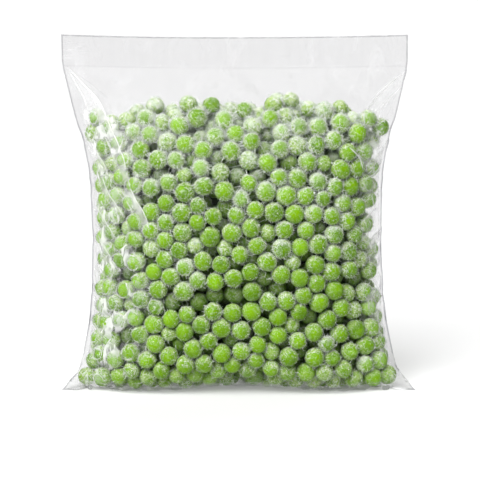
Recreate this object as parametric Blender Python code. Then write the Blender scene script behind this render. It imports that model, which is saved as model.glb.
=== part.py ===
"""A clear pillow bag of frozen peas, standing upright on its base.

The bag is one solid: a flat seal band along the top, sloping shoulders, a belly filled with peas,
thin edges where the front and back films lie together, a pinched base and two flat ears at the
base's corners.

Units are metres, +Z is up and the front faces -Y. The origin is on the floor, under the middle
of the bag.
"""

import math

import bmesh
import bpy
from mathutils import Vector

MM = 0.001

# Driving sizes
BAG_HEIGHT = 184 * MM
SEAL_BAND_HEIGHT = 15 * MM
SEAL_HALF_WIDTH = 89 * MM
EAR_HALF_SPAN = 92.4 * MM
WAIST_HALF_WIDTH = 75.6 * MM
BELLY_HALF_DEPTH = 35 * MM

# Film and seal
FILM_HALF_THICKNESS = 0.45 * MM  # front and back film lying together
SEAL_HALF_THICKNESS = 0.7 * MM  # the heat-sealed band
SEAL_STEP_HEIGHT = 1.2 * MM  # how far the band's lower edge takes to thicken
SEAL_DIP = 1.4 * MM  # the top edge sags between its corners
SEAL_WAVE = 1.3 * MM  # the band sways forwards and backwards
SEAL_WAVE_TURNS = 1.3  # half turns of that sway, from the middle to a corner
SEAL_WAVE_PHASE = 0.6
SWAY_HEIGHT = 45 * MM  # how far down from the top edge the film sways with the band
LEAN = 2.2 * MM  # the loosely filled bag leans this far to -X at its top edge

# Where the film's side line runs: (height, half width), from the ears' tips up to the seal band.
# From the belly up it slopes straight out to the band, which is as wide as the empty bag.
SIDE_LINE = [
    (0.0, EAR_HALF_SPAN),
    (8 * MM, WAIST_HALF_WIDTH + 9.3 * MM),
    (11 * MM, WAIST_HALF_WIDTH + 7.3 * MM),
    (22 * MM, WAIST_HALF_WIDTH + 5.2 * MM),
    (36 * MM, WAIST_HALF_WIDTH + 2.6 * MM),
    (54 * MM, WAIST_HALF_WIDTH + 1.0 * MM),
    (80 * MM, WAIST_HALF_WIDTH),
    (104 * MM, WAIST_HALF_WIDTH + 0.5 * MM),
    (122 * MM, WAIST_HALF_WIDTH + 2.2 * MM),
    (141 * MM, WAIST_HALF_WIDTH + 7.2 * MM),
    (BAG_HEIGHT - SEAL_BAND_HEIGHT, SEAL_HALF_WIDTH),
]

# How far the thin film edge runs out past the filled body: (height, width)
FILM_EDGE = [
    (0.0, 12.4 * MM),
    (8 * MM, 4.2 * MM),
    (11 * MM, 2.6 * MM),
    (20 * MM, 1.6 * MM),
    (100 * MM, 1.4 * MM),
    (130 * MM, 2.4 * MM),
    (BAG_HEIGHT - SEAL_BAND_HEIGHT, 4.0 * MM),
]

# Half the depth of the filled body on its middle line: (height, half depth)
BELLY_LINE = [
    (30 * MM, BELLY_HALF_DEPTH - 1.6 * MM),
    (65 * MM, BELLY_HALF_DEPTH),
    (100 * MM, BELLY_HALF_DEPTH - 2.0 * MM),
    (125 * MM, BELLY_HALF_DEPTH - 7.5 * MM),
    (143 * MM, BELLY_HALF_DEPTH - 16.7 * MM),
    (156 * MM, BELLY_HALF_DEPTH - 25.4 * MM),
    (164 * MM, BELLY_HALF_DEPTH - 31.0 * MM),
    (BAG_HEIGHT - SEAL_BAND_HEIGHT, FILM_HALF_THICKNESS),
]

# How pointed the body is towards its sides: 1 is an ellipse, less is squarer, more is a lens
SIDE_POINT = [
    (0.0, 0.8),
    (12 * MM, 0.84),
    (40 * MM, 1.02),
    (90 * MM, 1.14),
    (150 * MM, 1.3),
]

# The base, from its middle to its corner lobes
BASE_ROUND_HEIGHT = 30 * MM  # height at which the base's rounding reaches the belly
BASE_MIDDLE_SQUARENESS = 2.0
BASE_LOBE_SQUARENESS = 4.6
BASE_MIDDLE_SINK = 0.5 * MM  # how far the rounding is pressed flat against the floor
BASE_LOBE_SINK = 2.4 * MM
BASE_LOBE_X = 66 * MM

# Ears: the base's corner flaps lean towards the front
EAR_LEAN = 14 * MM
EAR_LEAN_FROM = 68 * MM
EAR_LEAN_HEIGHT = 26 * MM

# Folds and swells fade in until the body is this deep, so that the thin edges stay flat
RELIEF_DEPTH = 5.4 * MM

# Folds that run from the seal's lower corners down over the front and back of the shoulders
FOLD_HEIGHT = 1.7 * MM
FOLD_HALF_WIDTH = 6.0 * MM
FOLD_LINE = [
    (60 * MM, 50 * MM),
    (95 * MM, 51 * MM),
    (122 * MM, 57 * MM),
    (145 * MM, 69 * MM),
    (BAG_HEIGHT - SEAL_BAND_HEIGHT, 86 * MM),
]

# Shallow swells and dents, where the film lies over the uneven peas:
# (height of the swell, length across, length up, phase)
SWELLS = [
    (0.45 * MM, 31 * MM, 37 * MM, 0.4),
    (0.35 * MM, 23 * MM, 26 * MM, 2.1),
    (0.25 * MM, 17 * MM, 21 * MM, 4.0),
]
SWELL_WANDER = 0.65  # how far the rows of swells wander from straight lines

SHARP_ANGLE = 40  # degrees: edges bent more than this stay crisp

# Mesh: columns across half the bag, of which the last few are the film edge, and rows up it
HALF_COLUMNS = 22
EDGE_COLUMNS = 2
BASE_ROWS = 11
BODY_ROWS = 30
BAND_ROWS = 4


def smooth_step(start, end, value):
    """0 before start and 1 after end, with a smooth climb between them."""
    share = min(max((value - start) / (end - start), 0.0), 1.0)
    return share * share * (3 - 2 * share)


def follow(line, height):
    """The value of a line of (height, value) stations at this height, on a smooth curve."""
    if height <= line[0][0]:
        return line[0][1]
    if height >= line[-1][0]:
        return line[-1][1]
    index = next(i for i in range(len(line) - 1) if height <= line[i + 1][0])
    low, high = line[index], line[index + 1]
    span = high[0] - low[0]
    slope = (high[1] - low[1]) / span

    def tangent(i):
        """The harmonic mean of the slopes on both sides, which never overshoots."""
        if i == 0 or i == len(line) - 1:
            return slope
        before = (line[i][1] - line[i - 1][1]) / (line[i][0] - line[i - 1][0])
        after = (line[i + 1][1] - line[i][1]) / (line[i + 1][0] - line[i][0])
        return 2 * before * after / (before + after) if before * after > 0 else 0.0

    t = (height - low[0]) / span
    rise = high[1] - low[1]
    bend_in = tangent(index) * span
    bend_out = tangent(index + 1) * span
    return low[1] + bend_in * t + (3 * rise - 2 * bend_in - bend_out) * t**2 + (
        bend_in + bend_out - 2 * rise
    ) * t**3


def clear_scene():
    """Removes whatever objects the file starts with."""
    for obj in list(bpy.data.objects):
        bpy.data.objects.remove(obj, do_unlink=True)


def film_material():
    """Clear plastic film with the green of the peas showing through it."""
    material = bpy.data.materials.new("filled_film")
    material.use_nodes = True
    shader = material.node_tree.nodes["Principled BSDF"]
    shader.inputs["Base Color"].default_value = (0.33, 0.52, 0.13, 1.0)
    shader.inputs["Roughness"].default_value = 0.35
    shader.inputs["Metallic"].default_value = 0.0
    shader.inputs["Coat Weight"].default_value = 0.5
    return material


def row_height(row):
    """(height, climb) of a row: climb runs from 0 at the base's middle to 1 at the belly, and a row
    on the base's rounding has no height of its own yet."""
    if row <= BASE_ROWS:
        return None, row / BASE_ROWS
    body_top = BAG_HEIGHT - SEAL_BAND_HEIGHT
    above = row - BASE_ROWS
    if above <= BODY_ROWS:
        return BASE_ROUND_HEIGHT + (body_top - BASE_ROUND_HEIGHT) * above / BODY_ROWS, 1.0
    return body_top + SEAL_BAND_HEIGHT * (above - BODY_ROWS) / BAND_ROWS, 1.0


def base_rounding(lobe, climb):
    """(height, share of the full depth) on the base's rounding, from its middle out and up."""
    square = BASE_MIDDLE_SQUARENESS + (BASE_LOBE_SQUARENESS - BASE_MIDDLE_SQUARENESS) * lobe
    sink = BASE_MIDDLE_SINK + (BASE_LOBE_SINK - BASE_MIDDLE_SINK) * lobe
    angle = climb * math.pi / 2
    height = (BASE_ROUND_HEIGHT + sink) * (1 - math.cos(angle) ** (2 / square)) - sink
    return max(height, 0.0), math.sin(angle) ** (2 / square)


def bag_point(column, row, side):
    """A point of the bag's surface. column runs from -HALF_COLUMNS to HALF_COLUMNS, and side is
    -1 on the front film and 1 on the back one."""
    body_columns = HALF_COLUMNS - EDGE_COLUMNS
    out = abs(column)
    angle = min(out / body_columns, 1.0) * math.pi / 2
    edge_share = max(out - body_columns, 0) / EDGE_COLUMNS

    height, climb = row_height(row)
    depth_share = 1.0
    if height is None:
        lobe = smooth_step(0.0, BASE_LOBE_X, WAIST_HALF_WIDTH * math.sin(angle))
        height, depth_share = base_rounding(lobe, climb)

    edge = follow(FILM_EDGE, height)
    body_half_width = follow(SIDE_LINE, height) - edge
    x = body_half_width * math.sin(angle) + edge * edge_share

    thin = FILM_HALF_THICKNESS
    full = follow(BELLY_LINE, max(height, BASE_ROUND_HEIGHT)) * depth_share
    pointed = math.cos(angle) ** follow(SIDE_POINT, height)
    depth = thin + max(full - thin, 0.0) * pointed
    relief = fold_relief(x, height) + swell_relief(math.copysign(x, column), height, side)
    depth += relief * smooth_step(thin, RELIEF_DEPTH, depth) * depth_share

    band_bottom = BAG_HEIGHT - SEAL_BAND_HEIGHT
    sealed = smooth_step(band_bottom, band_bottom + SEAL_STEP_HEIGHT, height)
    depth += (SEAL_HALF_THICKNESS - thin) * sealed
    return Vector((math.copysign(x, column), side * depth, height))


def fold_relief(x, height):
    """How far a shoulder fold lifts the film at this place."""
    away = abs(x - follow(FOLD_LINE, height)) / FOLD_HALF_WIDTH
    fades = smooth_step(FOLD_LINE[0][0], FOLD_LINE[1][0], height)
    fades *= 1 - smooth_step(FOLD_LINE[3][0], FOLD_LINE[4][0], height)
    return FOLD_HEIGHT * fades * math.exp(-away * away)


def swell_relief(x, height, side):
    """How far the uneven peas push the film out at this place."""
    relief = 0.0
    for rise, across, up, phase in SWELLS:
        turn = math.tau * x / across + side * phase
        climb = math.tau * height / up + phase
        wave_across = math.sin(turn + math.sin(SWELL_WANDER * climb))
        wave_up = math.cos(climb + math.sin(SWELL_WANDER * turn))
        relief += rise * wave_across * wave_up
    return relief


def sway(point):
    """Leans the ears forwards and the bag a little sideways, and lets the seal band dip and sway
    between its corners."""
    x, y, z = point
    lean = smooth_step(EAR_LEAN_FROM, EAR_HALF_SPAN, abs(x))
    y -= EAR_LEAN * lean * (1 - smooth_step(0.0, EAR_LEAN_HEIGHT, z))
    shoulder = smooth_step(BAG_HEIGHT - SWAY_HEIGHT, BAG_HEIGHT, z)
    across = x / SEAL_HALF_WIDTH
    y += SEAL_WAVE * shoulder * math.sin(across * math.pi * SEAL_WAVE_TURNS + SEAL_WAVE_PHASE)
    z -= SEAL_DIP * shoulder * (1 - across * across)
    x -= LEAN * z / BAG_HEIGHT
    return Vector((x, y, z))


def make_bag(collection):
    """Starts from a cube two units wide, cuts it into columns and rows, and shapes each point.
    The cube's x of -1 to 1 becomes the column, its z the row, and its y the front or back film."""
    columns = 2 * HALF_COLUMNS
    rows = BASE_ROWS + BODY_ROWS + BAND_ROWS
    bm = bmesh.new()
    bmesh.ops.create_cube(bm, size=2)
    for axis, pieces in ((0, columns), (2, rows)):
        along = [e for e in bm.edges if abs((e.verts[0].co - e.verts[1].co)[axis]) > 1]
        bmesh.ops.subdivide_edges(bm, edges=along, cuts=pieces - 1, use_grid_fill=True)
    for vert in bm.verts:
        column = round(vert.co.x * HALF_COLUMNS)
        row = round((vert.co.z + 1) / 2 * rows)
        vert.co = sway(bag_point(column, row, math.copysign(1, vert.co.y)))
    bmesh.ops.recalc_face_normals(bm, faces=bm.faces)
    mesh = bpy.data.meshes.new("pea_bag")
    bm.to_mesh(mesh)
    bm.free()
    mesh.shade_smooth()
    mesh.set_sharp_from_angle(angle=math.radians(SHARP_ANGLE))
    mesh.materials.append(film_material())
    bag = bpy.data.objects.new("pea_bag", mesh)
    collection.objects.link(bag)
    return bag


def main():
    clear_scene()
    collection = bpy.data.collections.new("frozen_pea_bag")
    bpy.context.scene.collection.children.link(collection)
    make_bag(collection)


main()
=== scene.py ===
# %% [markdown]
# # A clear bag of frozen peas
# The real thing is a tube of clear packing film, sealed flat along its top and filled with loose
# frozen peas. Nothing on it is solid colour: what the eye reads as "green bag" is hundreds of
# frosted peas behind a film that is almost invisible. So it is built the way it is filled. The
# film comes first, as the wall that the peas lean on, then the peas, then their frost, and the
# film is drawn tight over them at the end.

import math

import bpy
import numpy as np
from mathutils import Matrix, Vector
from mathutils.bvhtree import BVHTree
from mathutils.kdtree import KDTree


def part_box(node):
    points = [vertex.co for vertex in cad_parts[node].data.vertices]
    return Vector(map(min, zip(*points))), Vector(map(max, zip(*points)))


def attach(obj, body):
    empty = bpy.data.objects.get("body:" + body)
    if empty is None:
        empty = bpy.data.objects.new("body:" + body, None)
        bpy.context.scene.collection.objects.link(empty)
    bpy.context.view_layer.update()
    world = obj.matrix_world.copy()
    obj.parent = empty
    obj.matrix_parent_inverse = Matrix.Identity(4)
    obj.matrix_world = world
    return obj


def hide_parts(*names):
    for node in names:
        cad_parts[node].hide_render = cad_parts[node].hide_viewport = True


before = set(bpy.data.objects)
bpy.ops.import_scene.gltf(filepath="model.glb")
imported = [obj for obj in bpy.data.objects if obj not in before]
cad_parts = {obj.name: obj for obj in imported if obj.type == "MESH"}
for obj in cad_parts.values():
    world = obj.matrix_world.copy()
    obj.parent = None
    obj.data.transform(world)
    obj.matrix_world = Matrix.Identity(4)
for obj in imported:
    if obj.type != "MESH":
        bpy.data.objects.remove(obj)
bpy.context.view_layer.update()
MM = 0.001
bag_low, bag_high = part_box("pea_bag")
bag_height = bag_high.z - bag_low.z
print("the packed bag, in mm:", [round(side / MM, 1) for side in bag_high - bag_low])

# %% [markdown]
# ## The film, as the wall of the bag
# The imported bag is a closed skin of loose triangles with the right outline: seal band, shoulders,
# belly and ears. A copy of it is merged and turned back into squares, because a square grid
# subdivides into a smooth film, and loose triangles don't. Edges that are really sharp, such as
# the cut top of the seal band, get a crease first, so that the subdivision keeps them.

# %% Copy the bag and make it a smooth skin


def only(piece):
    """Selects this object alone and makes it the active one."""
    bpy.ops.object.select_all(action="DESELECT")
    piece.select_set(True)
    bpy.context.view_layer.objects.active = piece


def mesh_rows(piece, key):
    """What the mesh keeps for each point under this key, as rows of x, y and z."""
    rows = np.empty(len(piece.data.vertices) * 3)
    piece.data.vertices.foreach_get(key, rows)
    return rows.reshape(-1, 3)


def mesh_points(piece):
    """The mesh's points."""
    return mesh_rows(piece, "co")


def mesh_normals(piece):
    """The direction that each point of the mesh faces."""
    return mesh_rows(piece, "normal")


def move_points(piece, points):
    """Puts the mesh's points in new places."""
    piece.data.vertices.foreach_set("co", points.ravel())
    piece.data.update()


def put_mark(mesh, key, values):
    """Keeps one number for each point of a mesh, for a material to read."""
    mark = mesh.attributes.new(key, "FLOAT", "POINT")
    mark.data.foreach_set("value", values.astype(np.float32))


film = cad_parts["pea_bag"].copy()
film.data = film.data.copy()
film.name = film.data.name = "film"
film.parent = None
for key in list(film.keys()):
    del film[key]
bpy.context.scene.collection.objects.link(film)

only(film)
bpy.ops.object.mode_set(mode="EDIT")
bpy.ops.mesh.select_all(action="SELECT")
bpy.ops.mesh.remove_doubles(threshold=0.02 * MM)
bpy.ops.mesh.tris_convert_to_quads(face_threshold=math.radians(60), shape_threshold=math.radians(60))
bpy.ops.mesh.select_all(action="DESELECT")
bpy.ops.mesh.select_mode(type="EDGE")
bpy.ops.mesh.edges_select_sharp(sharpness=math.radians(55))
bpy.ops.transform.edge_crease(value=1.0)
bpy.ops.object.mode_set(mode="OBJECT")

smooth = film.modifiers.new("smooth", "SUBSURF")
smooth.levels = smooth.render_levels = 2
bpy.ops.object.modifier_apply(modifier=smooth.name)
bpy.ops.object.shade_smooth()
print("film faces:", len(film.data.polygons))

# %% [markdown]
# ## Fill out the corners
# One or two peas sit right out in each lower corner and at each end of the heap's top, where the
# packed bag is already as thin as its edges. Film points there are pushed apart until they lie on
# an ellipsoid that has room for a pea. Seen from the front nothing moves.

# %% Push the film apart in the corners
CORNERS = [
    # the ellipsoid's middle, then half its width, depth and height, in mm, and how far forward the
    # bag's middle runs there for each step outwards
    ((-81.0, -6.8, 6.2), (9.0, 6.8, 10.5), -0.65),
    ((81.0, -6.8, 6.2), (9.0, 6.8, 10.5), -0.65),
    ((-74.5, 0.0, 134.0), (6.2, 6.5, 12.0), 0.0),
    ((72.5, 0.0, 136.0), (6.0, 6.3, 11.0), 0.0),
]


def fill_corners():
    """Gives the film room for a pea in each corner."""
    points, normals = mesh_points(film), mesh_normals(film)
    # -1 on the film's front sheet, 1 on its back sheet, and 0 underneath
    sheet = np.where(normals[:, 2] < -0.9, 0, np.sign(normals[:, 1]))
    for middle, sizes, slant in CORNERS:
        middle, sizes = np.array(middle) * MM, np.array(sizes) * MM
        outwards = (points[:, 0] - middle[0]) * np.sign(middle[0])
        up = (points[:, 2] - middle[2]) / sizes[2]
        room = sizes[1] * np.sqrt(np.clip(1 - (outwards / sizes[0]) ** 2 - up**2, 0, None))
        forward = points[:, 1] - middle[1] - slant * outwards
        points[:, 1] += sheet * np.clip(room - sheet * forward, 0, None) * (room > 0)
        print("film points in the corner:", np.count_nonzero(room))
    move_points(film, points)


fill_corners()

# %% [markdown]
# ## How deep is a point inside the bag?
# Every pea has to know how far it is from the film. Asking the mesh for each pea at each step is
# slow, so the answer is measured once on a grid of points, and read off between them.

# %% Measure the depth below the film on a grid
GRID_STEP = 2.5 * MM


def film_tree():
    """The film's faces in a search tree, as they are now."""
    return BVHTree.FromObject(film, bpy.context.evaluated_depsgraph_get())


def depth_grid(tree):
    """Depth below the film at each grid point: above 0 inside the bag, below 0 outside it. A point
    is inside if it lies between the first and the last film that a line from front to back meets."""
    low = bag_low - Vector((1, 1, 1)) * 2 * GRID_STEP
    counts = [int((high - start) / GRID_STEP) + 3 for high, start in zip(bag_high, low)]
    depths = np.empty(counts)
    backwards = Vector((0, 1, 0))
    for across, up in np.ndindex(counts[0], counts[2]):
        start = low + Vector((across, 0, up)) * GRID_STEP
        front = tree.ray_cast(start, backwards)[0]
        back = tree.ray_cast(start + backwards * counts[1] * GRID_STEP, -backwards)[0]
        for along in range(counts[1]):
            point = start + backwards * along * GRID_STEP
            away = tree.find_nearest(point)[3]
            inside = front is not None and front.y < point.y < back.y
            depths[across, along, up] = away if inside else -away
    return np.array(low), depths


grid_low, grid_depths = depth_grid(film_tree())


def depth_at(points):
    """Depth below the film, read between the eight grid points around each point."""
    place = (points - grid_low) / GRID_STEP
    place = np.clip(place, 0, np.array(grid_depths.shape) - 1.001)
    cell = place.astype(int)
    share = place - cell
    total = np.zeros(len(points))
    for corner in np.ndindex(2, 2, 2):
        weight = np.prod(np.where(corner, share, 1 - share), axis=1)
        total += weight * grid_depths[tuple((cell + corner).T)]
    return total


def unit(ways):
    """Each direction with a length of 1."""
    return ways / np.maximum(np.linalg.norm(ways, axis=1), 1e-9)[:, None]


def inward_at(points):
    """The direction that leads away from the film, into the bag."""
    ways = np.empty_like(points)
    for axis in range(3):
        step = np.zeros(3)
        step[axis] = GRID_STEP / 2
        ways[:, axis] = depth_at(points + step) - depth_at(points - step)
    return unit(ways)


print("grid:", grid_depths.shape, "deepest point, mm:", round(grid_depths.max() / MM, 1))

# %% [markdown]
# ## Filling the bag with peas
# A machine drops about half a kilo of peas into the bag, and they roll until each one rests on its
# neighbours. A rigid body simulation could do this, but over a thousand balls against a bag of thin
# film jitter for minutes. A pea has no corners, so a few lines do the same job: start with small
# peas all over the heap's space, let them grow, push touching peas apart and back inside the film,
# and pull them down a little at the end, so that the top layer settles unevenly.

# %% Let the peas grow and settle
PEA_RADIUS = 4.8 * MM
PEA_SPREAD = 0.26 * MM  # most peas' radii differ by less than this
SMALLEST_PEA = 4.1 * MM
LARGEST_PEA = 5.5 * MM
FILM_GAP = 0.25 * MM
CENTRE_ROOM = 0.8 * PEA_RADIUS  # how far a pea's middle starts from the film and the heap's top
HEAP_TOP = 147.5 * MM
TOP_PEAS = 12  # the heap's top, as it settles, is the mean level of this many highest peas
HEAP_FILL = 0.585  # the share of the heap that is peas, the rest is air
DOME_DROP = 13 * MM  # how much lower the heap lies at its ends than in its middle
DOME_HALF_WIDTH = 80 * MM
GROW_STEPS = 120
FALL_STEPS = 80
REST_STEPS = 40
FIRST_SIZE = 0.7  # the share of its size that a pea starts with
PAIRS_EVERY = 5  # steps between two searches for close peas, and how close those are
PAIR_REACH = 2.5 * PEA_RADIUS
PUSHES = 3  # pushes in a step, and the share of an overlap that each takes from either pea
PUSH = 0.4
PULL = 0.1 * MM  # how far a pea sinks in a step, at first
BOTTOM_SLACK = 3.2 * MM  # how much the film bulges below the lowest peas
SLACK_FROM = 12 * MM  # how far out from the middle, and how high, the bulge begins and ends
SLACK_LOW = 7 * MM
SLACK_OVER = 8 * MM
LAST_PEAS = 13  # peas that lie singly on top of the heap, and the stretches that they fall on
LAST_ACROSS = (-72 * MM, 74 * MM)
LAST_ALONG = (-14 * MM, 8 * MM)
LAST_SPREAD = 4 * MM
LAST_TRIES = 120
LAST_TOP = 155.5 * MM

chance = np.random.default_rng(11)


def rest_level(points):
    """The level that peas roll down to: height, raised towards the sides so that the heap domes."""
    return points[:, 2] + DOME_DROP * (np.abs(points[:, 0]) / DOME_HALF_WIDTH) ** 6


def downhill(points):
    """The direction in which peas roll."""
    slope = 6 * DOME_DROP / DOME_HALF_WIDTH * (np.abs(points[:, 0]) / DOME_HALF_WIDTH) ** 5
    level = np.ones(len(points))
    return unit(np.stack([-np.sign(points[:, 0]) * slope, 0 * level, -level], axis=1))


def heap_space():
    """The volume of the bag up to the heap's top, counted on the depth grid."""
    cells = np.stack(np.indices(grid_depths.shape), axis=-1).reshape(-1, 3)
    filled = (grid_depths.ravel() > 0) & (rest_level(grid_low + cells * GRID_STEP) < HEAP_TOP)
    return filled.sum() * GRID_STEP**3


def first_places(count):
    """Random places all over the heap's space, after one in each corner."""
    places = np.array([middle for middle, _, _ in CORNERS]) * MM
    while len(places) < count:
        tries = chance.uniform(bag_low, bag_high, (4000, 3))
        fits = (depth_at(tries) > CENTRE_ROOM) & (rest_level(tries) < HEAP_TOP - CENTRE_ROOM)
        places = np.concatenate([places, tries[fits]])
    return places[:count]


def search_tree(points, which):
    """A tree that quickly finds the nearest of the points whose numbers are given."""
    tree = KDTree(len(points))
    for index in which:
        tree.insert(points[index], index)
    tree.balance()
    return tree


def close_pairs(points, reach):
    """Pairs of points that are nearer to each other than reach."""
    tree = search_tree(points, range(len(points)))
    pairs = [
        (index, other)
        for index, point in enumerate(points)
        for _, other, _ in tree.find_range(point, reach)
        if other > index
    ]
    return np.array(pairs).T


def slack_below(points):
    """Extra room under the lowest peas at the front and back, where the film bulges below them."""
    outward = np.clip((np.abs(points[:, 1]) - SLACK_FROM) / SLACK_OVER, 0, 1)
    low = np.clip(1 - (points[:, 2] - SLACK_LOW) / SLACK_OVER, 0, 1)
    return BOTTOM_SLACK * outward * low


def settle(points, full_radii):
    """Grows the peas, then pulls them down, and pushes them apart all the while."""
    for step in range(GROW_STEPS + FALL_STEPS + REST_STEPS):
        growing = step < GROW_STEPS
        radii = full_radii * min(1, FIRST_SIZE + (1 - FIRST_SIZE) * step / GROW_STEPS)
        if step % PAIRS_EVERY == 0:
            first, second = close_pairs(points, PAIR_REACH)
        if not growing:
            points += PULL * max(1 - (step - GROW_STEPS) / FALL_STEPS, 0) * downhill(points)
        for _ in range(PUSHES):
            gaps = points[second] - points[first]
            apart = np.linalg.norm(gaps, axis=1)
            overlap = np.clip(radii[first] + radii[second] - apart, 0, None)
            push = gaps * (PUSH * overlap / apart)[:, None]
            for axis in range(3):
                points[:, axis] += np.bincount(second, push[:, axis], len(points))
                points[:, axis] -= np.bincount(first, push[:, axis], len(points))
            short = np.clip(radii + FILM_GAP + slack_below(points) - depth_at(points), 0, None)
            points += inward_at(points) * short[:, None]
            if growing:
                above = np.clip(rest_level(points) + radii - HEAP_TOP, 0, None)
                points += downhill(points) * above[:, None]
    return points


def drop_last(points, radii):
    """Drops a few last peas onto the heap, each into the lowest hollow near its place."""
    for middle in np.linspace(*LAST_ACROSS, LAST_PEAS):
        across = chance.normal(middle, LAST_SPREAD, LAST_TRIES)
        tries = np.stack([across, chance.uniform(*LAST_ALONG, LAST_TRIES)], axis=1)
        size = chance.uniform(SMALLEST_PEA, PEA_RADIUS)
        aside = ((tries[:, None, :] - points[None, :, :2]) ** 2).sum(axis=2)
        reach = (size + radii) ** 2
        rest = points[:, 2] + np.sqrt(np.clip(reach - aside, 0, None))
        level = np.where(aside < reach, rest, 0).max(axis=1)
        dropped = np.column_stack([tries, level])
        level = np.where(depth_at(dropped) > size + FILM_GAP, level, np.inf)
        lowest = dropped[level.argmin()]
        if np.isfinite(level.min()) and rest_level(lowest[None])[0] + size < LAST_TOP:
            points = np.vstack([points, lowest])
            radii = np.append(radii, size)
    return points, radii


pea_count = int(HEAP_FILL * heap_space() / (4 / 3 * math.pi * PEA_RADIUS**3))
pea_radii = np.clip(chance.normal(PEA_RADIUS, PEA_SPREAD, pea_count), SMALLEST_PEA, LARGEST_PEA)
pea_places = settle(first_places(pea_count), pea_radii)
heap_top = np.sort(rest_level(pea_places) + pea_radii)[-TOP_PEAS:].mean()
pea_places, pea_radii = drop_last(pea_places, pea_radii)
pea_count = len(pea_places)
print("peas:", pea_count, "heap top, mm:", round(heap_top / MM, 1))

# %% [markdown]
# ## Layers of the heap
# Only the peas against the film and on top of the heap are seen whole. Those behind them show
# through the gaps, and deeper ones are never seen. So the peas are sorted by how far they lie below
# the film or the heap's top: the outer layer and the next one are modelled pea by pea, and what is
# deeper becomes one lumpy core.

# %% Sort the peas into layers
OUTER_DEPTH = 8.7 * MM  # how far below the film or the heap's top each layer reaches
INNER_DEPTH = 18.0 * MM

pea_depths = depth_at(pea_places)
below_top = heap_top - rest_level(pea_places)
cover = np.minimum(pea_depths, below_top)
outer = cover < OUTER_DEPTH
inner = ~outer & (cover < INNER_DEPTH)
deep = ~outer & ~inner
print("outer, inner and deep peas:", outer.sum(), inner.sum(), deep.sum())

# %% [markdown]
# ## Film drawn tight over the peas
# Air is squeezed out of the bag before it is sealed, so the film lies on the peas and sags a little
# into the gaps between them. Each point of the film may sink along its normal until it meets a pea.
# Averaging each point's sink with its neighbours' stretches the film like a tent between the peas.

# %% Sink the film between the peas
MOST_SINK = 1.1 * MM
MOST_LIFT = 0.3 * MM  # how far a pea that stands proud may push the film out
SKIN_GAP = 0.12 * MM  # the film stays this far off a pea
SINK_STEPS = 40
SINK_STEP = 0.07 * MM
SINK_FADES = (1 * MM, 4 * MM)  # film farther than this from any pea doesn't sink
NEAR_PEAS = 4


def film_neighbours():
    """For each edge of the film, the two points that it joins."""
    edges = np.empty(len(film.data.edges) * 2, dtype=np.int32)
    film.data.edges.foreach_get("vertices", edges)
    return edges.reshape(-1, 2).T


def room_to_sink(points, normals):
    """How far each film point may sink before it meets a pea, and how near the nearest pea is."""
    tree = search_tree(pea_places, np.flatnonzero(outer | inner))
    found = [[(hit[1], hit[2]) for hit in tree.find_n(point, NEAR_PEAS)] for point in points]
    found = np.array(found)
    near = found[..., 0].astype(int)
    nearest = (found[..., 1] - pea_radii[near]).min(axis=1)
    room = np.full(len(points), MOST_SINK)
    for column in near.T:
        offset = pea_places[column] - points
        along = -(offset * normals).sum(axis=1)
        aside = (offset**2).sum(axis=1) - along**2
        reach = pea_radii[column] + SKIN_GAP
        meets = aside < reach**2
        touch = along - np.sqrt(np.where(meets, reach**2 - aside, 0))
        room = np.where(meets, np.minimum(room, touch), room)
    return np.clip(room, -MOST_LIFT, MOST_SINK), nearest


def sink_film():
    """Draws the film over the peas."""
    points, normals = mesh_points(film), mesh_normals(film)
    room, nearest = room_to_sink(points, normals)
    room = room * np.interp(nearest, SINK_FADES, (1, 0))
    one, other = film_neighbours()
    links = np.bincount(one, minlength=len(points)) + np.bincount(other, minlength=len(points))
    sink = np.zeros(len(points))
    for _ in range(SINK_STEPS):
        around = np.bincount(one, sink[other], len(points)) + np.bincount(other, sink[one], len(points))
        sink = np.minimum(0.4 * sink + 0.6 * around / links + SINK_STEP, room)
    points -= normals * sink[:, None]
    move_points(film, points)
    return sink, nearest


film_sink, film_to_pea = sink_film()
print("film sinks up to, mm:", round(film_sink.max() / MM, 2))
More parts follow.
